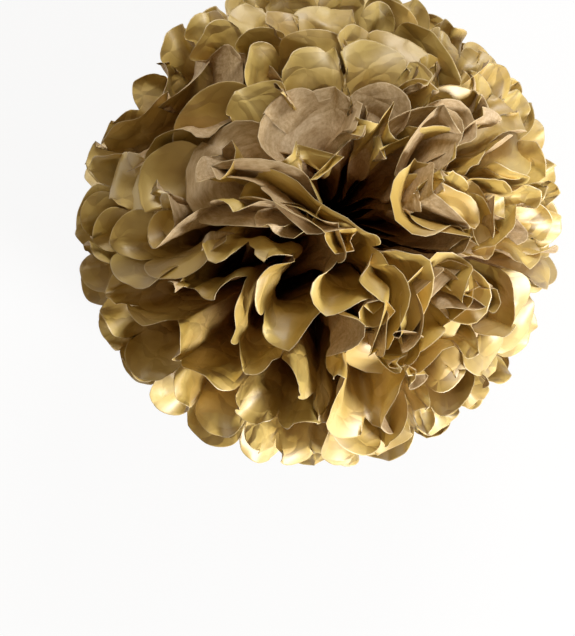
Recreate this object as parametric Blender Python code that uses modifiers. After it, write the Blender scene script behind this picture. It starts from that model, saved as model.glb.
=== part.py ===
"""Tissue paper pom pom, opened out and standing on a table.

Ten sheets of tissue are laid in a stack, pleated together into one strip, rounded at both ends
and tied at the waist with ribbon. Each half of each sheet is then opened like a fan, and the fans
are pulled apart, six up and four down, until the rounded ends of the pleats fill a ball.

Metres, +Z up along the ball's axis. The strip ran along Y, so the two clefts between its opened
halves run along X. The origin is on the table, under the middle of the ball's box.
"""

import math

import bmesh
import bpy
import numpy as np

# The stack before it is opened
PLEATS = 15
STRIP_LENGTH = 0.250
PLEAT_WIDTH = 0.027
LOBE_DEPTH = 0.013
PAPER = 0.0003

# The waist, where the pleats are gathered and tied
WAIST_RADIUS = 0.005
WAIST_LENGTH = 0.008
WAIST_GAP = 0.0005
RIBBON_WIDTH = 0.006
RIBBON_THICKNESS = 0.0003
RIBBON_TURNS = 3
RIBBON_CLEARANCE = 0.0003

# How far the fans are pulled apart: the angle in degrees between the ball's axis and each sheet's
# rim, from the uppermost sheet to the lowest, and how the opened halves meet and rise
SHEET_ANGLES = (18, 30, 41, 53, 65, 78, 93, 109, 130, 156)
CLEFT_ANGLE = math.radians(2)
CLEFT_GAP = 0.0016
CLEFT_CLOSES_BY = 0.024
GATHER_LENGTH = 0.012
RISE_LENGTH = 0.028
THROAT = math.radians(6)
THROAT_FROM = 0.010
TIE_HEIGHT = 0.104

# Where the opened sheets wander up and down the ball, several pleats at a time: the compass
# bearing of each turning, and the share of the most lean there, positive being downward
MOST_LEAN = math.radians(15)
LEAST_LEAN = 0.2
LEAN_FROM = 0.015
TURNINGS = (
    (0, -0.10), (16, 0.90), (36, -0.80), (58, 0.80), (78, -0.60), (105, 0.05), (135, 0.00),
    (160, -0.40), (176, -0.60), (188, 0.60), (200, 1.00), (216, -0.10), (228, -0.80), (246, -0.90),
    (262, -0.60), (282, -0.90), (304, 0.85), (326, -0.70), (343, 0.30), (352, 0.10),
)

# The petals, each one rounded pleat end
PLEAT_RISE = 0.110
STEEPEST_PLEAT = 0.38
FREE_FROM = 0.035
UNEVEN_PITCH = 0.40
OWN_PITCH = 0.6
UNEVEN_PLEATS = 0.25
UNEVEN_LEAN = math.radians(1.2)
OUTWARD_CURL = math.radians(5)
UNEVEN_CURL = math.radians(3)
CURL_LENGTH = 0.050
CUP_DEPTH = 0.12
SEED = 6

# How far the crown of the ball leans over to one side
POLE_SHIFT = math.radians(9)
POLE_SHIFT_BEARING = math.radians(45)
POLE_SHIFT_REACH = math.radians(45)

# The swirls where petals were bent round each other when the ball was fluffed out: the compass
# bearing and the angle from the axis of each one's middle, its reach, and how far it turns
SWIRL_FROM = 0.020
SWIRLS = (
    (16, 36, 20, 38),
    (58, 34, 20, -35),
    (128, 26, 20, -20),
    (200, 36, 20, 42),
    (255, 18, 16, -28),
    (304, 32, 20, -38),
)

# How finely each piece is faceted
ROWS = 4
ROW_CROWDING = 2.1
STEEP_SHEET_ROWS = 1
LOBE_CUTS = 3
RIBBON_STEPS = 12
RIM_POINTS = 400

SHEETS = len(SHEET_ANGLES)
REACH = STRIP_LENGTH / 2
FOLD_REACH = REACH - LOBE_DEPTH
WAIST_HALF = WAIST_LENGTH / 2
SHEET_PITCH = PAPER + WAIST_GAP
STACK_HALF = (SHEETS - 1) / 2 * SHEET_PITCH

GOLD = (0.60, 0.45, 0.18, 1.0)
WHITE = (0.85, 0.86, 0.88, 1.0)


def material(name, colour, roughness, metallic):
    """A plain finish of one colour."""
    made = bpy.data.materials.new(name)
    made.use_nodes = True
    shader = made.node_tree.nodes["Principled BSDF"]
    shader.inputs["Base Color"].default_value = colour
    shader.inputs["Roughness"].default_value = roughness
    shader.inputs["Metallic"].default_value = metallic
    return made


def smooth(x):
    """A soft step from 0 to 1 as x goes from 0 to 1."""
    x = np.clip(x, 0, 1)
    return x * x * (3 - 2 * x)


def sheet_angle(sheet):
    """The angle between the ball's axis and a sheet's rim, counting sheets from the top."""
    return math.radians(SHEET_ANGLES[sheet])


def row_distances(sheet):
    """Distances along a sheet of the rows across it, closer together near the waist.

    All sheets share them, apart from what the steepest ones have more of near their rims.
    """
    outer = [WAIST_HALF + (FOLD_REACH - WAIST_HALF) * (k / ROWS) ** ROW_CROWDING for k in range(ROWS + 1)]
    more = round(STEEP_SHEET_ROWS * math.cos(sheet_angle(sheet)) ** 2)
    last = outer[-2]
    outer[-1:] = [last + (FOLD_REACH - last) * (k + 1) / (more + 1) for k in range(more + 1)]
    return [-y for y in reversed(outer)] + outer


def cut_sheet(sheet):
    """One sheet before it is folded: a flat mesh, x across its pleats and y along the strip.

    It starts as a grid with a line on each fold. The ends of the pleats are rounded by lifting
    points of the grid's two outer edges onto half an ellipse, with a line across its foot.
    """
    rows = row_distances(sheet)
    bm = bmesh.new()
    bmesh.ops.create_grid(bm, x_segments=PLEATS, y_segments=len(rows) - 1, size=1)
    for v in bm.verts:
        v.co.x = round((v.co.x + 1) / 2 * PLEATS)
        v.co.y = rows[round((v.co.y + 1) / 2 * (len(rows) - 1))]
    rim = [e for e in bm.edges if all(abs(v.co.y) > FOLD_REACH - 1e-6 for v in e.verts)]
    bmesh.ops.subdivide_edges(bm, edges=rim, cuts=LOBE_CUTS)
    rim = [v for v in bm.verts if abs(v.co.y) > FOLD_REACH - 1e-6]
    fold_ends = [v for v in rim if abs(v.co.x - round(v.co.x)) < 1e-6]
    bmesh.ops.connect_verts(bm, verts=fold_ends)
    for v in set(rim) - set(fold_ends):
        offset = math.sin((v.co.x - math.floor(v.co.x) - 0.5) * math.pi)
        v.co.x = math.floor(v.co.x) + (1 + offset) / 2
        v.co.y += math.copysign(LOBE_DEPTH * math.sqrt(1 - offset**2), v.co.y)
    bmesh.ops.triangulate(bm, faces=bm.faces, quad_method="ALTERNATE")
    return bm


def uneven(rng, count, most):
    """count random numbers from -most to most."""
    return rng.uniform(-most, most, count)


def lean_share(bearing):
    """The share of the most lean at a bearing, eased from one turning to the next."""
    at, share = np.array(TURNINGS).T
    at = np.radians(np.concatenate([at - 360, at, at + 360]))
    share = np.tile(share, 3)
    bearing = np.mod(bearing, math.tau)
    after = np.clip(np.searchsorted(at, bearing, side="right"), 1, len(at) - 1)
    step = smooth((bearing - at[after - 1]) / (at[after] - at[after - 1]))
    return share[after - 1] + (share[after] - share[after - 1]) * step


def turned(points, axis, turn):
    """Points turned about an axis through the waist, each by its own angle."""
    turn = turn[..., None]
    axial = (points @ axis)[..., None] * axis
    return axial + (points - axial) * np.cos(turn) + np.cross(axis, points) * np.sin(turn)


def swirled(points):
    """Turns points, measured from the waist, about the middle of each swirl in turn.

    Every point stays as far from the waist as it was, and what lay side by side still does, so
    sheets that were clear of each other stay clear.
    """
    away = np.maximum(np.linalg.norm(points, axis=1), 1e-9)
    strength = smooth((away - SWIRL_FROM) / (REACH - SWIRL_FROM))
    sideways = np.array([-math.sin(POLE_SHIFT_BEARING), math.cos(POLE_SHIFT_BEARING), 0])
    apart = np.arccos(np.clip(points[:, 2] / away, -1, 1))
    points = turned(points, sideways, POLE_SHIFT * strength * np.exp(-(apart / POLE_SHIFT_REACH) ** 2))
    for bearing, polar, reach, twist in np.radians(SWIRLS):
        level = math.sin(polar)
        middle = np.array([level * math.cos(bearing), level * math.sin(bearing), math.cos(polar)])
        apart = np.arccos(np.clip(points @ middle / away, -1, 1))
        points = turned(points, middle, twist * strength * np.exp(-(apart / reach) ** 2))
    return points


class Fan:
    """How one half of one sheet is opened: its own values for each fold and each pleat."""

    def __init__(self, sheet, side):
        self.side = side
        self.height = STACK_HALF - sheet * SHEET_PITCH
        self.half_width = math.sqrt(WAIST_RADIUS**2 - self.height**2)
        self.angle = sheet_angle(sheet)
        rng = np.random.default_rng([SEED, side > 0])
        common_steps = self.steps(rng)
        self.common_lean = self.waves(rng)
        rng = np.random.default_rng([SEED, side > 0, sheet])
        self.most_lean = MOST_LEAN * (LEAST_LEAN + (1 - LEAST_LEAN) * abs(math.sin(2 * self.angle)))
        self.common_turn = self.turns(common_steps)
        self.own_turn = self.turns(common_steps + OWN_PITCH * (self.steps(rng) - common_steps))
        self.own_lean = self.waves(rng)
        self.pleat = 1 + uneven(rng, PLEATS + 1, UNEVEN_PLEATS)
        outward = OUTWARD_CURL * math.cos(self.angle)
        self.curl = outward + uneven(rng, PLEATS + 1, UNEVEN_CURL)
        self.cup = uneven(rng, PLEATS, CUP_DEPTH)

    @staticmethod
    def steps(rng):
        """The share of the rim from its start to each fold."""
        steps = 1 + uneven(rng, PLEATS, UNEVEN_PITCH)
        return np.concatenate([[0], np.cumsum(steps)]) / steps.sum()

    def turns(self, steps):
        """The bearing of each fold, which stands at its share of the wandering rim's length."""
        bearing = np.linspace(CLEFT_ANGLE, math.pi - CLEFT_ANGLE, RIM_POINTS)
        rim = self.angle + self.most_lean * lean_share(self.side * bearing)
        around = np.diff(bearing) * np.sin((rim[1:] + rim[:-1]) / 2)
        length = np.concatenate([[0], np.cumsum(np.hypot(around, np.diff(rim)))])
        return np.interp(steps * length[-1], length, bearing)

    @staticmethod
    def waves(rng):
        """A slow wave round the fan: three sines with their own strengths and starts."""
        return list(zip((2, 3, 5), uneven(rng, 3, UNEVEN_LEAN), rng.uniform(0, math.tau, 3)))

    @staticmethod
    def wave_at(waves, turn):
        return sum(size * np.sin(times * turn + start) for times, size, start in waves)

    def pleated(self, across, out, pitch, free):
        """How far the pleats carry each point up or down from the sheet's middle."""
        folds = np.arange(PLEATS + 1)
        zigzag = np.interp(across, folds, np.where(folds % 2, 1.0, -1.0))
        uneven_pleat = np.interp(across, folds, self.pleat)
        swing = np.sqrt(np.maximum(PLEAT_WIDTH**2 - pitch**2, 0)) / 2
        swing = np.minimum(swing, STEEPEST_PLEAT * pitch)
        swing = np.minimum(swing, out**2 / PLEAT_RISE)
        pleat = np.minimum(np.floor(across), PLEATS - 1).astype(int)
        middle = 1 - (2 * (across - pleat) - 1) ** 2
        return zigzag * swing * (1 + free * (uneven_pleat - 1)) + self.cup[pleat] * pitch * middle * free

    def place(self, across, along):
        """Where points of the flat sheet go: across in pleats, along as distance from the waist."""
        folds = np.arange(PLEATS + 1)
        out = np.maximum(along - WAIST_HALF, 0)
        free = smooth((out - FREE_FROM) / (REACH - FREE_FROM))
        turn = np.interp(across, folds, self.common_turn)
        turn += free * (np.interp(across, folds, self.own_turn) - turn)

        angle = self.angle + (math.pi / 2 - self.angle) * np.exp(-out / RISE_LENGTH)
        along_throat = np.clip((out - THROAT_FROM) / (REACH - THROAT_FROM), 0, 1)
        angle -= THROAT * math.cos(self.angle) * np.sin(math.pi * along_throat) ** 2
        leaning = smooth((out - LEAN_FROM) / (REACH - LEAN_FROM))
        angle += self.most_lean * lean_share(self.side * turn) * leaning
        lean = self.wave_at(self.common_lean, turn) + self.wave_at(self.own_lean, turn) * free
        curled = np.clip((out - (REACH - CURL_LENGTH)) / CURL_LENGTH, 0, 1)
        angle += lean * smooth(out / REACH) + np.interp(across, folds, self.curl) * curled**2
        level = out * np.sin(angle)
        height = self.height + out * np.cos(angle)

        away = np.maximum(np.hypot(level, height), 1e-9)
        offset = self.pleated(across, out, level * math.pi / PLEATS, free)
        angle = np.arctan2(level, height) + offset / away
        angle = np.clip(angle, math.radians(2), math.radians(178))
        level = np.where(out > 0, away * np.sin(angle), 0)
        height = np.where(out > 0, away * np.cos(angle), self.height)

        fanned = smooth(level / GATHER_LENGTH)
        closed = smooth(level / CLEFT_CLOSES_BY)
        gathered = self.half_width * (1 - 2 * across / PLEATS)
        x = gathered + (level * np.cos(turn) - gathered) * fanned
        y = WAIST_HALF + (CLEFT_GAP / 2 - WAIST_HALF) * closed
        y += level * (1 + (np.sin(turn) - 1) * fanned)
        return self.stood(swirled(np.stack([x, self.side * y, height], -1)))

    @staticmethod
    def stood(points):
        """Lifts the waist to its height, and bends out, flat on the table, what would go below."""
        x, y, z = points.T
        z = z + TIE_HEIGHT
        depth = np.maximum(PAPER / 2 - z, 0)
        from_axis = np.maximum(np.hypot(x, y), 1e-9)
        return np.stack([x * (1 + depth / from_axis), y * (1 + depth / from_axis), z + depth], -1)


def fold(bm, sheet):
    """Moves each point of the flat sheet to its place in the opened pom pom."""
    flat = np.array([v.co[:2] for v in bm.verts])
    placed = np.empty((len(flat), 3))
    for side in (1, -1):
        half = flat[:, 1] * side > 0
        placed[half] = Fan(sheet, side).place(flat[half, 0], flat[half, 1] * side)
    for v, co in zip(bm.verts, placed):
        v.co = co


def thickened(obj, thickness):
    """Gives an open surface its thickness, half to each side, and returns its mesh."""
    shell = obj.modifiers.new("thickness", "SOLIDIFY")
    shell.thickness = thickness
    shell.offset = 0
    graph = bpy.context.evaluated_depsgraph_get()
    solid = bpy.data.meshes.new_from_object(obj.evaluated_get(graph))
    obj.modifiers.clear()
    open_mesh = obj.data
    obj.data = solid
    bpy.data.meshes.remove(open_mesh)
    return solid


def add_object(name, bm, collection, finish):
    """Makes an object of the mesh in bm."""
    bmesh.ops.recalc_face_normals(bm, faces=bm.faces)
    mesh = bpy.data.meshes.new(name)
    bm.to_mesh(mesh)
    bm.free()
    mesh.materials.append(finish)
    obj = bpy.data.objects.new(name, mesh)
    collection.objects.link(obj)
    return obj


def make_sheet(sheet, collection, finish):
    """One tissue sheet, cut, folded and opened, with the soles of its lowest petals flat."""
    bm = cut_sheet(sheet)
    fold(bm, sheet)
    obj = add_object(f"tissue_sheet_{sheet + 1:02d}", bm, collection, finish)
    solid = thickened(obj, PAPER)
    for v in solid.vertices:
        if v.co.z < PAPER / 2:
            v.co.z = 0
    return obj


def make_ribbon(collection, finish):
    """The ribbon wound round the waist as a spiral, each turn over the one before."""
    bm = bmesh.new()
    steps = RIBBON_TURNS * RIBBON_STEPS
    bmesh.ops.create_grid(bm, x_segments=steps, y_segments=1, size=1)
    first = WAIST_RADIUS + PAPER / 2 + RIBBON_CLEARANCE + RIBBON_THICKNESS / 2
    for v in bm.verts:
        turns = (v.co.x + 1) / 2 * RIBBON_TURNS
        radius = first + turns * (RIBBON_THICKNESS + RIBBON_CLEARANCE)
        x = radius * math.cos(math.tau * turns)
        z = radius * math.sin(math.tau * turns)
        v.co = (x, v.co.y * RIBBON_WIDTH / 2, z + TIE_HEIGHT)
    obj = add_object("waist_ribbon", bm, collection, finish)
    thickened(obj, RIBBON_THICKNESS)
    return obj


def centre_on_base(objects):
    """Moves the whole pom pom sideways until the middle of its box is over the origin."""
    points = np.array([v.co for obj in objects for v in obj.data.vertices])
    middle = (points.min(0) + points.max(0)) / 2
    for obj in objects:
        for v in obj.data.vertices:
            v.co.x -= middle[0]
            v.co.y -= middle[1]


def main():
    for obj in list(bpy.data.objects):
        bpy.data.objects.remove(obj)
    collection = bpy.data.collections.new("tissue_paper_pom_pom")
    bpy.context.scene.collection.children.link(collection)
    tissue = material("gold_tissue", GOLD, 0.45, 0.6)
    ribbon = material("white_ribbon", WHITE, 0.4, 0.0)
    parts = [make_sheet(sheet, collection, tissue) for sheet in range(SHEETS)]
    parts.append(make_ribbon(collection, ribbon))
    centre_on_base(parts)


main()
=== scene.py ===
"""A gold tissue paper pom pom, opened out on a white table and seen from nearly above.

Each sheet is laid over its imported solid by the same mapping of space, finely enough for its
creases, curled lobes and crumples. Metres, +Z up.
"""

import math

import bpy
import numpy as np
from mathutils import Matrix, Vector


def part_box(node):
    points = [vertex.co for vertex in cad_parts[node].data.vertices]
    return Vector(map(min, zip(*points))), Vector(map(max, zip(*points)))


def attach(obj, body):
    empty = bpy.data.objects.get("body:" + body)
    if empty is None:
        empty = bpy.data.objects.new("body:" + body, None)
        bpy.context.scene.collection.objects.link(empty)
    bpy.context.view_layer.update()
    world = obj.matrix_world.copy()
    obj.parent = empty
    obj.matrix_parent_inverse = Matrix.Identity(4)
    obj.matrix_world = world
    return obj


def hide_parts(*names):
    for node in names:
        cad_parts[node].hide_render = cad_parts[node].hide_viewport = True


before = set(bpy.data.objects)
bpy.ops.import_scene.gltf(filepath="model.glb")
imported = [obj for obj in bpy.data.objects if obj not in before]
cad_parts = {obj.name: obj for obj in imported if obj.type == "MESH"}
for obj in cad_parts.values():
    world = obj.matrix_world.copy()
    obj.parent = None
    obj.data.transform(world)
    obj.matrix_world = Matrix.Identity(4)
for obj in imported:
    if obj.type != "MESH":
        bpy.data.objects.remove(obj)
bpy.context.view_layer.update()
scene = bpy.context.scene
scene.view_settings.view_transform = "Standard"
ribbon_low, ribbon_high = (np.array(corner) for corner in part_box("waist_ribbon"))
WAIST = (ribbon_low + ribbon_high) / 2

# The camera
# It looks down on the ball from a little to the left of its axis and below it in the picture, so
# the hollow at the ball's pole shows to the right of the middle, and the near cleft to the left.
BALL_RADIUS = 0.121
BALL_RADIUS_PX = 245
BALL_PX = (319, 225)
PICTURE_PX = (575, 636)
CAMERA_DISTANCE = 0.9
CAMERA_TURN = math.radians(20)
CAMERA_ELEVATION = math.radians(83.5)
CAMERA_SIDE = math.radians(205)
SENSOR_WIDTH = 36

picture_right = np.array([math.cos(CAMERA_TURN), math.sin(CAMERA_TURN), 0])
picture_up = np.array([-picture_right[1], picture_right[0], 0])
sideways = math.cos(CAMERA_SIDE) * picture_right + math.sin(CAMERA_SIDE) * picture_up
back = math.cos(CAMERA_ELEVATION) * sideways + np.array([0, 0, math.sin(CAMERA_ELEVATION)])
camera_x = np.cross(picture_up, back)
camera_x /= np.linalg.norm(camera_x)
camera_y = np.cross(back, camera_x)
focal_px = BALL_RADIUS_PX / math.tan(math.asin(BALL_RADIUS / CAMERA_DISTANCE))
camera = bpy.data.objects.new("camera", bpy.data.cameras.new("camera"))
camera.data.sensor_width = SENSOR_WIDTH
camera.data.lens = SENSOR_WIDTH * focal_px / max(PICTURE_PX)
camera.data.shift_x = (PICTURE_PX[0] / 2 - BALL_PX[0]) / max(PICTURE_PX)
camera.data.shift_y = (BALL_PX[1] - PICTURE_PX[1] / 2) / max(PICTURE_PX)
camera.matrix_world = Matrix(np.column_stack([camera_x, camera_y, back]).tolist()).to_4x4()
camera.location = WAIST + CAMERA_DISTANCE * back
scene.collection.objects.link(camera)
scene.camera = camera

# The tissue sheets, from the flat stack to the opened ball
# Ten sheets of thin tissue, metallic gold on one side and dull beige on the other, were pleated
# together into a strip, cut round at both ends, tied at the waist and pulled apart.

# The folded strip, and the stack of sheets at its waist
PLEATS = 15
STRIP_LENGTH = 0.250
PLEAT_WIDTH = 0.027
LOBE_DEPTH = 0.013
PACKED_PAPER = 0.0003
PAPER = 0.00012
WAIST_RADIUS = 0.005
WAIST_LENGTH = 0.008
SHEET_PITCH = 0.0008

# How far from the ball's axis each sheet rises, and how its two half fans close at the cleft
SHEET_ANGLES = (18, 30, 41, 53, 65, 78, 93, 109, 130, 156)
CLEFT_ANGLE = math.radians(2)
CLEFT_GAP = 0.0016
CLEFT_CLOSES_BY = 0.012
GATHER_LENGTH = 0.012
RISE_LENGTH = 0.028
THROAT = math.radians(6)
THROAT_FROM = 0.010

# How all rims wander up and down together: at each bearing, the share of the most lean
MOST_LEAN = math.radians(15)
LEAST_LEAN = 0.2
LEAN_FROM = 0.015
TURNINGS = (
    (0, -0.10), (16, 0.90), (36, -0.80), (58, 0.80), (78, -0.60), (105, 0.05), (135, 0.00),
    (160, -0.40), (176, -0.60), (188, 0.60), (200, 1.00), (216, -0.10), (228, -0.80), (246, -0.90),
    (262, -0.60), (282, -0.90), (304, 0.85), (326, -0.70), (343, 0.30), (352, 0.10),
)

# How deep the pleats are, and how each one differs a little from the next
PLEAT_RISE = 0.110
STEEPEST_PLEAT = 0.38
FREE_FROM = 0.035
UNEVEN_PITCH = 0.40
OWN_PITCH = 0.6
UNEVEN_PLEATS = 0.25
UNEVEN_LEAN = math.radians(1.2)
LEAN_TIMES = (2, 3, 5)
OUTWARD_CURL = math.radians(5)
UNEVEN_CURL = math.radians(3)
CURL_LENGTH = 0.050
CUP_DEPTH = 0.12
SEED = 6

# The crown leaned to one side, and the swirls, as (bearing, from the axis, reach, twist) in degrees
POLE_SHIFT = math.radians(9)
POLE_SHIFT_BEARING = math.radians(45)
POLE_SHIFT_REACH = math.radians(45)
SWIRL_FROM = 0.020
SWIRLS = (
    (16, 36, 20, 38),
    (58, 34, 20, -35),
    (128, 26, 20, -20),
    (200, 36, 20, 42),
    (255, 18, 16, -28),
    (304, 32, 20, -38),
)

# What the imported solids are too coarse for: pleats folded deep inside the ball, as far as the
# angle left to the axis lets them, and at the cleft the slot between the half fans laid over
SHALLOW_FROM = 0.060
SHALLOW_BY = 0.112
DEEPEST_PLEAT = 0.55
WIDE_ROOM = 1.0
ANGLE_LIMITS = (math.radians(2), math.radians(178))
RIM_SAMPLES = 400
CREASE_SHARPNESS = 0.985
RIM_SHARPNESS = 0.90
CLEFT_LAP = math.radians(4)
LAPPED_PLEATS = 2
CLEFT_ASIDE = 0.003
ASIDE_FROM = 0.020
ASIDE_LENGTH = 0.030

# Where a sheet is crowded, in pleat widths between its folds, one pleat in three lies open
LOOSE_PITCH = 0.62
CROWDED_OVER = 0.30
LAID_GROUP = 3
LAID_FROM = 0.050
LAID_BY = 0.095
LAID_LAP = 0.60
LAID_RETURN = 0.42
LAID_RISE = 0.0055
LAID_DRAW = 4

# The curl of each lobe, and what leans or flops over round the hollow
LOBE_CURL_LENGTH = 0.022
LOBE_CURL = math.radians(28)
UNEVEN_LOBE_CURL = math.radians(52)
UNEVEN_CORNER_CURL = math.radians(26)
LEAN_IN = math.radians(46)
LEAN_IN_BEARING = math.radians(325)
FLOP = math.radians(105)
FLOP_BEARING = math.radians(166)
FLOP_REACH = math.radians(13)
FLOP_SHEETS = (3, 6)
FLOP_LONGER = 0.020
INNER_BY = math.radians(52)
INNER_OVER = math.radians(25)
INNER_CALM = 0.5
INNER_CURL_LONGER = 0.016
CURL_SEED = 7

# Crumples and ruffles, with the cells across and along the sheet that each is random in
CRUMPLE = 0.0019
CRUMPLED_FROM = 0.030
DENT_CELLS = (26, 7)
FINE_DENT_CELLS = (60, 16)
FINE_DENTS = 0.5
CREASE_CELLS = (34, 11)
CREASES = 0.8
CRUMPLE_DRAW = 2
RUFFLE = 0.0016
RUFFLE_CELLS = (44, 3)
RUFFLED_FROM = 0.085
RUFFLED_OVER = 0.040

SHEETS = len(SHEET_ANGLES)
REACH = STRIP_LENGTH / 2
FOLD_REACH = REACH - LOBE_DEPTH
WAIST_HALF = WAIST_LENGTH / 2
STACK_HALF = (SHEETS - 1) / 2 * SHEET_PITCH
FOLDS = np.arange(PLEATS + 1)


def smooth(x):
    """A soft step: 3x^2 - 2x^3 between 0 and 1."""
    x = np.clip(x, 0, 1)
    return x * x * (3 - 2 * x)


def uneven(rng, count, most):
    """count random numbers from -most to most."""
    return rng.uniform(-most, most, count)


def fold_steps(rng):
    """The share of the rim from its start to each fold: uneven steps, summed, over their total."""
    steps = 1 + uneven(rng, PLEATS, UNEVEN_PITCH)
    return np.concatenate([[0], np.cumsum(steps)]) / steps.sum()


def slow_waves(rng):
    """Three sines round the fan, as (times, size, start)."""
    waves = len(LEAN_TIMES)
    sizes = uneven(rng, waves, UNEVEN_LEAN)
    return list(zip(LEAN_TIMES, sizes, rng.uniform(0, math.tau, waves)))


def laid_over(rng, crowding):
    """Where each fold of a crowded sheet goes at its rim: sideways in pleat widths, and outward.

    In each three pleats one lies open and the other two are tucked behind it, from either end.
    """
    sideways, outward = np.zeros(PLEATS + 1), np.zeros(PLEATS + 1)
    for first in range(0, PLEATS, LAID_GROUP):
        tucked = slice(first + 1, first + LAID_GROUP)
        if rng.random() < 0.5:
            sideways[tucked] = LAID_LAP, -LAID_RETURN
            outward[tucked] = -1, 1
        else:
            sideways[tucked] = LAID_RETURN, -LAID_LAP
            outward[tucked] = 1, -1
    return sideways * crowding, outward * LAID_RISE


def wave_at(waves, turn):
    """The sum of size * sin(times * turn + start)."""
    return sum(size * np.sin(times * turn + start) for times, size, start in waves)


def lean_share(bearing):
    """The share of the most lean at a bearing, eased from one turning to the next."""
    at, share = np.array(TURNINGS).T
    at = np.radians(np.concatenate([at - 360, at, at + 360]))
    share = np.tile(share, 3)
    bearing = np.mod(bearing, math.tau)
    after = np.clip(np.searchsorted(at, bearing, side="right"), 1, len(at) - 1)
    step = smooth((bearing - at[after - 1]) / (at[after] - at[after - 1]))
    return share[after - 1] + (share[after] - share[after - 1]) * step


def turned(points, axis, turn):
    """Points turned about an axis through the waist, each by its own angle.

    The part along the axis stays, and the rest is mixed by cosine and sine with its cross product.
    """
    turn = turn[..., None]
    axial = (points @ axis)[..., None] * axis
    return axial + (points - axial) * np.cos(turn) + np.cross(axis, points) * np.sin(turn)


def swirled(points):
    """The crown leaned over to one side, then each swirl.

    Each is a turn about an axis through the waist that falls off as exp(-(angle / reach)^2).
    """
    away = np.maximum(np.linalg.norm(points, axis=-1), 1e-9)
    strength = smooth((away - SWIRL_FROM) / (REACH - SWIRL_FROM))
    sideways = np.array([-math.sin(POLE_SHIFT_BEARING), math.cos(POLE_SHIFT_BEARING), 0])
    apart = np.arccos(np.clip(points[..., 2] / away, -1, 1))
    lean = POLE_SHIFT * strength * np.exp(-(apart / POLE_SHIFT_REACH) ** 2)
    points = turned(points, sideways, lean)
    for bearing, polar, reach, twist in np.radians(SWIRLS):
        level = math.sin(polar)
        middle = np.array([level * math.cos(bearing), level * math.sin(bearing), math.cos(polar)])
        apart = np.arccos(np.clip(points @ middle / away, -1, 1))
        points = turned(points, middle, twist * strength * np.exp(-(apart / reach) ** 2))
    return points


def soft_noise(rng, across, along, cells):
    """Random values at the corners of a grid of cells, eased from one corner to the next."""
    columns, rows = cells
    values = rng.uniform(-1, 1, (rows + 2, columns + 2))
    x = across / PLEATS * columns
    y = along / REACH * rows
    i, j = np.minimum(x.astype(int), columns), np.minimum(y.astype(int), rows)
    u, v = smooth(x - i), smooth(y - j)
    low = values[j, i] + (values[j, i + 1] - values[j, i]) * u
    high = values[j + 1, i] + (values[j + 1, i + 1] - values[j + 1, i]) * u
    return low + (high - low) * v


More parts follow.
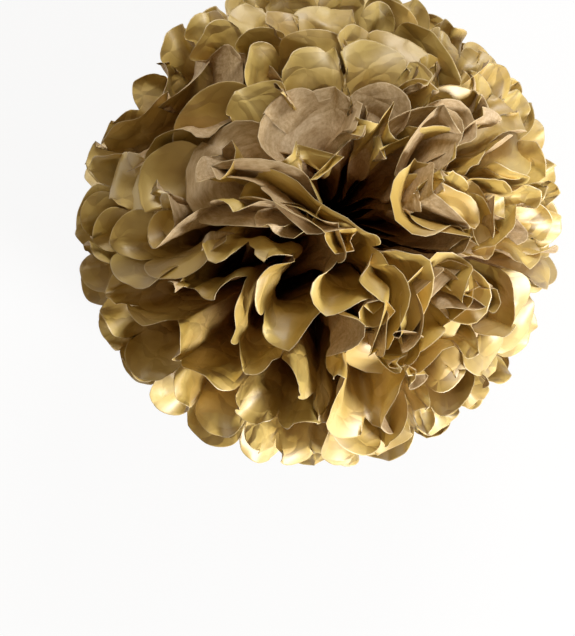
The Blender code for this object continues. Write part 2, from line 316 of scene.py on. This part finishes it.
def fan(sheet, side, across, along):
    """Where points of one half of one sheet go, from across in pleats and along from the waist.

    In the upright plane a point stands at out * (sin angle, cos angle), where angle runs from
    level at the waist to the sheet's own. The pleats turn it about the waist by their offset, and
    the plane itself stands at the point's bearing in the half turn.
    """
    rng = np.random.default_rng([SEED, side > 0])
    common_steps, common_lean = fold_steps(rng), slow_waves(rng)
    rng = np.random.default_rng([SEED, side > 0, sheet])
    own_steps = common_steps + OWN_PITCH * (fold_steps(rng) - common_steps)
    own_lean = slow_waves(rng)
    uneven_pleat = 1 + uneven(rng, PLEATS + 1, UNEVEN_PLEATS)
    rim_angle = math.radians(SHEET_ANGLES[sheet])
    curl = OUTWARD_CURL * math.cos(rim_angle) + uneven(rng, PLEATS + 1, UNEVEN_CURL)
    cup = uneven(rng, PLEATS, CUP_DEPTH)
    rim_pitch = REACH * math.sin(rim_angle) * math.pi / PLEATS / PLEAT_WIDTH
    crowding = smooth((LOOSE_PITCH - rim_pitch) / CROWDED_OVER)
    rng = np.random.default_rng([SEED, side > 0, sheet, LAID_DRAW])
    laid_sideways, laid_outward = laid_over(rng, crowding)
    most_lean = MOST_LEAN * (LEAST_LEAN + (1 - LEAST_LEAN) * abs(math.sin(2 * rim_angle)))
    waist_height = STACK_HALF - sheet * SHEET_PITCH
    half_width = math.sqrt(WAIST_RADIUS**2 - waist_height**2)

    bearing = np.linspace(CLEFT_ANGLE, math.pi - CLEFT_ANGLE, RIM_SAMPLES)
    rim = rim_angle + most_lean * lean_share(side * bearing)
    around = np.diff(bearing) * np.sin((rim[1:] + rim[:-1]) / 2)
    length = np.concatenate([[0], np.cumsum(np.hypot(around, np.diff(rim)))])
    common_turn = np.interp(common_steps * length[-1], length, bearing)
    own_turn = np.interp(own_steps * length[-1], length, bearing)

    out = np.maximum(along - WAIST_HALF, 0)
    free = smooth((out - FREE_FROM) / (REACH - FREE_FROM))
    laid = smooth((out - LAID_FROM) / (LAID_BY - LAID_FROM))
    pleat = np.minimum(np.floor(across), PLEATS - 1).astype(int)
    sharpness = CREASE_SHARPNESS + (RIM_SHARPNESS - CREASE_SHARPNESS) * laid
    bend = np.arcsin(sharpness * np.cos(math.pi * (across - pleat))) / np.arcsin(sharpness)

    def eased(values):
        """Values at the folds, eased from each fold to the next as the paper bends."""
        here, after = values[pleat], values[pleat + 1]
        return (here + after) / 2 + (here - after) / 2 * bend

    turn = np.interp(across, FOLDS, common_turn) + 0 * out
    turn = turn + free * (np.interp(across, FOLDS, own_turn) - turn)
    turn = turn + laid * eased(laid_sideways) * PLEAT_WIDTH / (REACH * math.sin(rim_angle))
    turn = np.clip(turn, CLEFT_ANGLE / 2, math.pi - CLEFT_ANGLE / 2)
    lapped = smooth((across - PLEATS + LAPPED_PLEATS) / LAPPED_PLEATS)
    turn = turn + laid * CLEFT_LAP * math.sin(rim_angle) ** 4 * lapped
    angle = rim_angle + (math.pi / 2 - rim_angle) * np.exp(-out / RISE_LENGTH)
    along_throat = np.clip((out - THROAT_FROM) / (REACH - THROAT_FROM), 0, 1)
    angle = angle - THROAT * math.cos(rim_angle) * np.sin(math.pi * along_throat) ** 2
    leaned = smooth((out - LEAN_FROM) / (REACH - LEAN_FROM))
    angle = angle + most_lean * lean_share(side * turn) * leaned
    lean = wave_at(common_lean, turn) + wave_at(own_lean, turn) * free
    curled = np.clip((out - (REACH - CURL_LENGTH)) / CURL_LENGTH, 0, 1)
    angle = angle + lean * smooth(out / REACH) + np.interp(across, FOLDS, curl) * curled**2
    level = out * np.sin(angle)
    height = waist_height + out * np.cos(angle)

    zigzag = eased(np.where(FOLDS % 2, 1.0, -1.0))
    pitch = level * math.pi / PLEATS
    packed = np.sqrt(np.maximum(PLEAT_WIDTH**2 - pitch**2, 0)) / 2
    packed = np.minimum(np.minimum(packed, STEEPEST_PLEAT * pitch), out**2 / PLEAT_RISE)
    smooth_points = np.stack([level * np.cos(turn), level * np.sin(turn), height], -1)
    fold_columns = [int(np.argmin(abs(across - fold))) for fold in FOLDS]
    gaps = np.linalg.norm(np.diff(smooth_points[:, fold_columns], axis=1), axis=-1)
    gaps = np.concatenate([gaps[:, :1], (gaps[:, 1:] + gaps[:, :-1]) / 2, gaps[:, -1:]], axis=1)
    gap = np.stack([np.interp(across, FOLDS, row) for row in gaps])
    deep = np.sqrt(np.maximum(PLEAT_WIDTH**2 - gap**2, 0)) / 2
    room = np.minimum(angle, math.pi - angle)
    deep = np.minimum(deep, DEEPEST_PLEAT * out * np.sin(np.minimum(room, WIDE_ROOM)))
    shallow = smooth((out - SHALLOW_FROM) / (SHALLOW_BY - SHALLOW_FROM))
    swing = deep + (packed - deep) * shallow
    unlike = 1 + free * (np.interp(across, FOLDS, uneven_pleat) - 1)
    offset = zigzag * swing * (1 - crowding * laid) * unlike
    offset = offset + crowding * laid * eased(laid_outward)
    offset = offset + cup[pleat] * pitch * (1 - (2 * (across - pleat) - 1) ** 2) * free

    away = np.maximum(np.hypot(level, height), 1e-9)
    angle = np.clip(np.arctan2(level, height) + offset / away, *ANGLE_LIMITS)
    level = np.where(out > 0, away * np.sin(angle), 0)
    height = np.where(out > 0, away * np.cos(angle), waist_height)
    fanned = smooth(level / GATHER_LENGTH)
    closed = smooth(level / CLEFT_CLOSES_BY)
    gathered = half_width * (1 - 2 * across / PLEATS)
    x = gathered + (level * np.cos(turn) - gathered) * fanned
    y = WAIST_HALF + (CLEFT_GAP / 2 - WAIST_HALF) * closed
    y = y + level * (1 + (np.sin(turn) - 1) * fanned)
    aside = smooth(level / WAIST_RADIUS) * (1 - smooth((level - ASIDE_FROM) / ASIDE_LENGTH))
    aside = aside * (CLEFT_ASIDE if sheet % 2 else -CLEFT_ASIDE)
    return swirled(np.stack([x, side * y + aside, height], -1))


def normals(points):
    """Unit normals of a grid of points: the step across crossed with the step along."""
    normal = np.cross(np.gradient(points, axis=1), np.gradient(points, axis=0))
    return normal / np.maximum(np.linalg.norm(normal, axis=-1, keepdims=True), 1e-12)


def lobes_curled(points, sheet, side, across, along):
    """Each lobe rolled over or up: the steps from row to row turned by an angle that grows outward.

    Round the hollow at the top the lobes lean one way, toward LEAN_IN_BEARING's side inward and on
    the other side outward.
    """
    rng = np.random.default_rng([CURL_SEED, side > 0, sheet])
    rim_angle = math.radians(SHEET_ANGLES[sheet])
    inner = smooth((INNER_BY - rim_angle) / INNER_OVER)
    bearing = side * across / PLEATS * math.pi
    lobe_rolls = uneven(rng, PLEATS, UNEVEN_LOBE_CURL)
    corner_rolls = uneven(rng, 2 * PLEATS + 1, UNEVEN_CORNER_CURL)
    roll = np.interp(across, FOLDS[:-1] + 0.5, lobe_rolls) * (1 - INNER_CALM * inner)
    roll = roll + np.interp(across * 2, np.arange(2 * PLEATS + 1), corner_rolls)
    roll = roll + (1 - inner) * LOBE_CURL * math.cos(rim_angle)
    roll = roll - inner * LEAN_IN * np.cos(bearing - LEAN_IN_BEARING)
    flopped = np.exp(-(((bearing - FLOP_BEARING) / FLOP_REACH) ** 2))
    flopped = flopped * (FLOP_SHEETS[0] <= sheet <= FLOP_SHEETS[1])
    roll = roll - FLOP * flopped
    curl_length = LOBE_CURL_LENGTH + inner * INNER_CURL_LONGER + flopped * FLOP_LONGER
    turn = side * roll * smooth((along - REACH + curl_length) / curl_length)
    turn = turn[1:, :, None]
    steps = np.diff(points, axis=0)
    step_length = np.linalg.norm(steps, axis=-1, keepdims=True)
    steps = steps * np.cos(turn) + normals(points)[1:] * step_length * np.sin(turn)
    return np.concatenate([points[:1], points[:1] + np.cumsum(steps, axis=0)])


def crumpled(points, sheet, side, across, along):
    """Soft dents and sharp creases over the whole sheet, and ruffles that grow toward its rim.

    Points move along their normals by noise. A crease is 1 - 2 |noise|, sharp where noise is 0.
    """
    rng = np.random.default_rng([SEED, side > 0, sheet, CRUMPLE_DRAW])
    across = across + 0 * along
    near_rim = smooth((along - CRUMPLED_FROM) / (REACH - CRUMPLED_FROM))
    dents = soft_noise(rng, across, along, DENT_CELLS)
    dents = dents + FINE_DENTS * soft_noise(rng, across, along, FINE_DENT_CELLS)
    creases = 1 - 2 * abs(soft_noise(rng, across, along, CREASE_CELLS))
    ruffle = soft_noise(rng, across, along, RUFFLE_CELLS)
    ruffle = ruffle * smooth((along - RUFFLED_FROM) / RUFFLED_OVER)
    shift = CRUMPLE * near_rim * (dents + CREASES * creases) + RUFFLE * ruffle
    return points + normals(points) * shift[..., None]


def stood(points):
    """Bends out flat, just above the table, what would go below it.

    The depth below the table is added to the height and to the distance from the ball's axis.
    """
    depth = np.maximum(PACKED_PAPER / 2 - points[..., 2], 0)
    from_axis = np.maximum(np.hypot(points[..., 0] - WAIST[0], points[..., 1] - WAIST[1]), 1e-9)
    wider = depth / from_axis
    level = (points - WAIST) * (1, 1, 0)
    return points + level * wider[..., None] + depth[..., None] * (0, 0, 1)


# The paper's patterns, in the flat sheet's own metres: long soft wrinkles that run from the waist
# to the rim, a net of fine creases, the mottling of the fibres, and the distance from the waist,
# which sets the painted shade deep inside the ball.
CREASE_NET = 75
NET_BENDS = 60
NET_BEND_DETAIL = 2
NET_BENT_BY = 0.012
patterns = bpy.data.node_groups.new("tissue_patterns", "ShaderNodeTree")
for output in ("Wrinkles", "Creases", "Fibres", "Clouds", "Depth"):
    patterns.interface.new_socket(output, in_out="OUTPUT", socket_type="NodeSocketFloat")
nodes, links = patterns.nodes, patterns.links
shown = nodes.new("NodeGroupOutput")
flat = nodes.new("ShaderNodeUVMap")
flat.uv_map = "flat"
for output, (across_scale, along_scale), detail, roughness in (  # the scales are per metre
    ("Wrinkles", (70, 22), 3, 0.5),
    ("Fibres", (900, 600), 4, 0.7),
    ("Clouds", (45, 30), 3, 0.6),
):
    mapping = nodes.new("ShaderNodeMapping")
    mapping.inputs["Scale"].default_value = (across_scale, along_scale, 1)
    noise = nodes.new("ShaderNodeTexNoise")
    noise.inputs["Scale"].default_value = 1
    noise.inputs["Detail"].default_value = detail
    noise.inputs["Roughness"].default_value = roughness
    links.new(flat.outputs["UV"], mapping.inputs["Vector"])
    links.new(mapping.outputs["Vector"], noise.inputs["Vector"])
    links.new(noise.outputs["Fac"], shown.inputs[output])
place = nodes.new("ShaderNodeSeparateXYZ")
from_waist = nodes.new("ShaderNodeMath")
from_waist.operation = "ABSOLUTE"
links.new(flat.outputs["UV"], place.inputs["Vector"])
links.new(place.outputs["Y"], from_waist.inputs[0])
links.new(from_waist.outputs["Value"], shown.inputs["Depth"])
cells = nodes.new("ShaderNodeTexVoronoi")
cells.feature = "DISTANCE_TO_EDGE"
cells.inputs["Scale"].default_value = CREASE_NET
bent = nodes.new("ShaderNodeTexNoise")
bent.inputs["Scale"].default_value = NET_BENDS
bent.inputs["Detail"].default_value = NET_BEND_DETAIL
moved = nodes.new("ShaderNodeMixRGB")
moved.inputs["Fac"].default_value = NET_BENT_BY
links.new(flat.outputs["UV"], bent.inputs["Vector"])
links.new(flat.outputs["UV"], moved.inputs["Color1"])
links.new(bent.outputs["Color"], moved.inputs["Color2"])
links.new(moved.outputs["Color"], cells.inputs["Vector"])
links.new(cells.outputs["Distance"], shown.inputs["Creases"])

# The paper's three finishes: the gold side, the dull side and the cut edge. Deep inside the ball
# the colour is multiplied browner toward the waist, painted shade for the light that comes there
# only from paper to paper, and a narrow strip along the rim is mixed toward the edge colour, a
# painted highlight for light caught where the edge curls.
MOTTLE = (0.36, 0.64)
COAT_ROUGHNESS = 0.50
COAT_IOR = 2.1
DEEP_SHADE = (0.50, 0.27, 0.055, 1)
SHADED_BEYOND = 0.120
SHADED_WITHIN = 0.070
# The colour of the paper's cut edge, also mixed onto a strip along the rim as a painted highlight.
EDGE_AND_HIGHLIGHT_COLOUR = (0.76, 0.63, 0.38, 1)
EDGE_ROUGHNESS = 0.6


def tissue(name, dark, light, varied_by, metallic, roughness, coat, bump):
    """A finish mottled from dark to light by one of the patterns, with painted shade toward the
    waist and a painted highlight along the rim.
    """
    made = bpy.data.materials.new(name)
    made.use_nodes = True
    nodes, links = made.node_tree.nodes, made.node_tree.links
    shader = nodes["Principled BSDF"]
    shader.inputs["Metallic"].default_value = metallic
    shader.inputs["Roughness"].default_value = roughness
    shader.inputs["Coat Weight"].default_value = coat
    shader.inputs["Coat Roughness"].default_value = COAT_ROUGHNESS
    shader.inputs["Coat IOR"].default_value = COAT_IOR
    pattern = nodes.new("ShaderNodeGroup")
    pattern.node_tree = patterns
    ramp = nodes.new("ShaderNodeValToRGB")
    for stop, position, colour in zip(ramp.color_ramp.elements, MOTTLE, (dark, light)):
        stop.position = position
        stop.color = (*colour, 1)
    links.new(pattern.outputs[varied_by], ramp.inputs["Fac"])
    # Painted highlight: the last narrow row at the rim is mixed toward the edge colour, for light
    # caught where the lobes' edges curl.
    painted_edge_highlight = nodes.new("ShaderNodeAttribute")
    painted_edge_highlight.attribute_name = "painted_edge_highlight"
    # Painted shade: toward the waist the colour is multiplied by DEEP_SHADE, for the shade deep
    # inside the ball where light comes only from paper to paper.
    deep = nodes.new("ShaderNodeMapRange")
    deep.interpolation_type = "SMOOTHSTEP"
    deep.inputs["From Min"].default_value = SHADED_BEYOND
    deep.inputs["From Max"].default_value = SHADED_WITHIN
    shaded = nodes.new("ShaderNodeMixRGB")
    shaded.blend_type = "MULTIPLY"
    shaded.inputs["Color2"].default_value = DEEP_SHADE
    links.new(pattern.outputs["Depth"], deep.inputs["Value"])
    links.new(deep.outputs["Result"], shaded.inputs["Fac"])
    edge_highlight_mix = nodes.new("ShaderNodeMixRGB")
    edge_highlight_mix.inputs["Color2"].default_value = EDGE_AND_HIGHLIGHT_COLOUR
    links.new(painted_edge_highlight.outputs["Fac"], edge_highlight_mix.inputs["Fac"])
    links.new(ramp.outputs["Color"], shaded.inputs["Color1"])
    links.new(shaded.outputs["Color"], edge_highlight_mix.inputs["Color1"])
    links.new(edge_highlight_mix.outputs["Color"], shader.inputs["Base Color"])
    normal = None
    for output, distance in bump:
        lifted = nodes.new("ShaderNodeBump")
        lifted.inputs["Strength"].default_value = 1
        lifted.inputs["Distance"].default_value = distance
        links.new(pattern.outputs[output], lifted.inputs["Height"])
        if normal:
            links.new(normal, lifted.inputs["Normal"])
        normal = lifted.outputs["Normal"]
    links.new(normal, shader.inputs["Normal"])
    return made


gold_side = tissue(
    "gold_side",
    dark=(0.52, 0.325, 0.040),
    light=(0.73, 0.540, 0.145),
    varied_by="Clouds",
    metallic=0.10,
    roughness=0.60,
    coat=0.9,
    bump=(("Wrinkles", 0.0026), ("Creases", 0.0036)),
)
dull_side = tissue(
    "dull_side",
    dark=(0.44, 0.300, 0.145),
    light=(0.63, 0.480, 0.290),
    varied_by="Fibres",
    metallic=0.0,
    roughness=0.62,
    coat=0.0,
    bump=(("Wrinkles", 0.0020), ("Creases", 0.0022)),
)
paper_edge = bpy.data.materials.new("paper_edge")
paper_edge.use_nodes = True
shader = paper_edge.node_tree.nodes["Principled BSDF"]
shader.inputs["Base Color"].default_value = EDGE_AND_HIGHLIGHT_COLOUR
shader.inputs["Roughness"].default_value = EDGE_ROUGHNESS

# Each sheet's grid: columns closer together at the folds, rows closer together at the rim, and a
# last narrow row that carries the painted highlight along the rim. Both halves are joined through
# the waist. The area is that of the flat sheet with its ends cut into round lobes.
COLUMNS_PER_PLEAT = 20
COLUMNS_TO_FOLDS = 0.5
ROWS = 36
ROWS_TO_RIM = 0.78
EDGE_ROW = 0.0006
EDGE_HIGHLIGHT_SHARE = 0.4
FLAT_APART = 0.5
step = np.arange(COLUMNS_PER_PLEAT) / COLUMNS_PER_PLEAT
eased_step = (1 - np.cos(math.pi * step)) / 2
step = (1 - COLUMNS_TO_FOLDS) * step + COLUMNS_TO_FOLDS * eased_step
across = np.append((FOLDS[:-1, None] + step).ravel(), PLEATS)
lobe = np.sqrt(np.maximum(1 - (2 * (across - np.floor(across)) - 1) ** 2, 0))
rim = FOLD_REACH + LOBE_DEPTH * lobe
rows = np.linspace(0, 1, ROWS) ** ROWS_TO_RIM
along = WAIST_HALF + rows[:, None] * (rim - EDGE_ROW - WAIST_HALF)
along = np.concatenate([along, rim[None]])

for sheet in range(SHEETS):
    halves = []
    for side in (-1, 1):
        points = fan(sheet, side, across, along)
        points = crumpled(points, sheet, side, across, along)
        points = lobes_curled(points, sheet, side, across, along)
        halves.append(points)
    points = stood(np.concatenate([halves[0][::-1], halves[1]]) + WAIST)
    count, columns = points.shape[:2]
    corner = np.arange(count * columns).reshape(count, columns)
    faces = np.stack([corner[:-1, :-1], corner[:-1, 1:], corner[1:, 1:], corner[1:, :-1]], -1)
    node = f"tissue_sheet_{sheet + 1:02d}"
    mesh = bpy.data.meshes.new(f"fine_{node}")
    mesh.from_pydata(points.reshape(-1, 3), [], faces.reshape(-1, 4))
    mesh.shade_smooth()
    place = np.stack([np.broadcast_to(across * PLEAT_WIDTH, along.shape), along], -1)
    place = np.concatenate([place[::-1] * (1, -1), place]).reshape(-1, 2)
    place = place + (sheet * FLAT_APART, 0)
    loops = np.empty(len(mesh.loops), int)
    mesh.loops.foreach_get("vertex_index", loops)
    mesh.uv_layers.new(name="flat").data.foreach_set("uv", place[loops].ravel())
    # The rim rows at both ends get the painted highlight's share.
    painted_edge_highlight = np.zeros((count, columns))
    painted_edge_highlight[[0, -1]] = EDGE_HIGHLIGHT_SHARE
    pale = mesh.attributes.new("painted_edge_highlight", "FLOAT", "POINT")
    pale.data.foreach_set("value", painted_edge_highlight.ravel())
    piece = bpy.data.objects.new(f"fine_{node}", mesh)
    scene.collection.objects.link(piece)
    sides = (dull_side, gold_side) if sheet > 0 else (gold_side, dull_side)
    for finish in (*sides, paper_edge):
        mesh.materials.append(finish)
    wall = piece.modifiers.new("paper", "SOLIDIFY")
    wall.thickness = PAPER
    wall.offset = 0
    wall.material_offset = mesh.materials.find(sides[1].name)
    wall.material_offset_rim = mesh.materials.find(paper_edge.name)
    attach(piece, "root")
    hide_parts(node)

# The waist ribbon
# A narrow strip of white satin wound three times round the gathered waist. Its solid is right, and
# gets the weave's fine ribs and a soft sheen.
RIBBON_WHITE = (0.82, 0.83, 0.85, 1)
RIBBON_ROUGHNESS = 0.34
RIBBON_SHEEN = 0.4
RIBS = 900
RIBS_BENT = 0.6
RIB_STRENGTH = 0.3
RIB_HEIGHT = 0.0001
ribbon_satin = bpy.data.materials.new("ribbon_satin")
ribbon_satin.use_nodes = True
nodes, links = ribbon_satin.node_tree.nodes, ribbon_satin.node_tree.links
shader = nodes["Principled BSDF"]
shader.inputs["Base Color"].default_value = RIBBON_WHITE
shader.inputs["Roughness"].default_value = RIBBON_ROUGHNESS
shader.inputs["Sheen Weight"].default_value = RIBBON_SHEEN
position = nodes.new("ShaderNodeTexCoord")
ribs = nodes.new("ShaderNodeTexWave")
ribs.bands_direction = "Z"
ribs.inputs["Scale"].default_value = RIBS
ribs.inputs["Distortion"].default_value = RIBS_BENT
lifted = nodes.new("ShaderNodeBump")
lifted.inputs["Strength"].default_value = RIB_STRENGTH
lifted.inputs["Distance"].default_value = RIB_HEIGHT
links.new(position.outputs["Object"], ribs.inputs["Vector"])
links.new(ribs.outputs["Fac"], lifted.inputs["Height"])
links.new(lifted.outputs["Normal"], shader.inputs["Normal"])
for slot in bpy.data.objects["waist_ribbon"].material_slots:
    slot.material = ribbon_satin

# The table
# It glows white to the camera and in reflections, as the photograph's background does, and still
# takes a faint shadow of the ball.
TABLE_HALF = 3.0
TABLE_COLOUR = (0.8, 0.8, 0.8, 1)
TABLE_ROUGHNESS = 0.8
GLOW_SHARE = 0.9
table_mesh = bpy.data.meshes.new("table")
corners = [(x * TABLE_HALF, y * TABLE_HALF, 0) for x, y in ((-1, -1), (1, -1), (1, 1), (-1, 1))]
table_mesh.from_pydata(corners, [], [(0, 1, 2, 3)])
table = bpy.data.objects.new("table", table_mesh)
scene.collection.objects.link(table)
white = bpy.data.materials.new("white_table")
white.use_nodes = True
tree = white.node_tree
shader = tree.nodes["Principled BSDF"]
shader.inputs["Base Color"].default_value = TABLE_COLOUR
shader.inputs["Roughness"].default_value = TABLE_ROUGHNESS
path = tree.nodes.new("ShaderNodeLightPath")
glow = tree.nodes.new("ShaderNodeEmission")
seen = tree.nodes.new("ShaderNodeMath")
seen.operation = "MAXIMUM"
share = tree.nodes.new("ShaderNodeMath")
share.operation = "MULTIPLY"
share.inputs[1].default_value = GLOW_SHARE
mix = tree.nodes.new("ShaderNodeMixShader")
tree.links.new(path.outputs["Is Camera Ray"], seen.inputs[0])
tree.links.new(path.outputs["Is Glossy Ray"], seen.inputs[1])
tree.links.new(seen.outputs["Value"], share.inputs[0])
tree.links.new(share.outputs["Value"], mix.inputs["Fac"])
tree.links.new(shader.outputs["BSDF"], mix.inputs[1])
tree.links.new(glow.outputs["Emission"], mix.inputs[2])
tree.links.new(mix.outputs["Shader"], tree.nodes["Material Output"].inputs["Surface"])
table_mesh.materials.append(white)

# The light
# A broad soft key from the right and below in the picture, a weaker one from above it, and a dim
# warm surround, which the camera sees as plain white.
SURROUND = (1, 0.78, 0.48, 1)
SURROUND_STRENGTH = 0.26
BACKDROP = (1, 1, 1, 1)
LIGHTS = (  # name, place from the waist (to the picture's right, to its top, up), size, watts
    ("key", (1.1, -1.05, 0.75), 0.50, 38),
    ("fill", (0.3, 1.2, 0.8), 0.6, 12),
)
world = bpy.data.worlds.new("surround")
world.use_nodes = True
nodes, links = world.node_tree.nodes, world.node_tree.links
surround = nodes["Background"]
surround.inputs["Color"].default_value = SURROUND
surround.inputs["Strength"].default_value = SURROUND_STRENGTH
backdrop = nodes.new("ShaderNodeBackground")
backdrop.inputs["Color"].default_value = BACKDROP
path = nodes.new("ShaderNodeLightPath")
mix = nodes.new("ShaderNodeMixShader")
links.new(path.outputs["Is Camera Ray"], mix.inputs["Fac"])
links.new(surround.outputs["Background"], mix.inputs[1])
links.new(backdrop.outputs["Background"], mix.inputs[2])
links.new(mix.outputs["Shader"], nodes["World Output"].inputs["Surface"])
scene.world = world
for name, (to_right, to_top, upward), size, watts in LIGHTS:
    lamp = bpy.data.objects.new(name, bpy.data.lights.new(name, "AREA"))
    lamp.data.energy = watts
    lamp.data.size = size
    offset = to_right * picture_right + to_top * picture_up + np.array([0, 0, upward])
    lamp.location = WAIST + offset
    lamp.rotation_euler = Vector(offset).to_track_quat("Z", "Y").to_euler()
    scene.collection.objects.link(lamp)
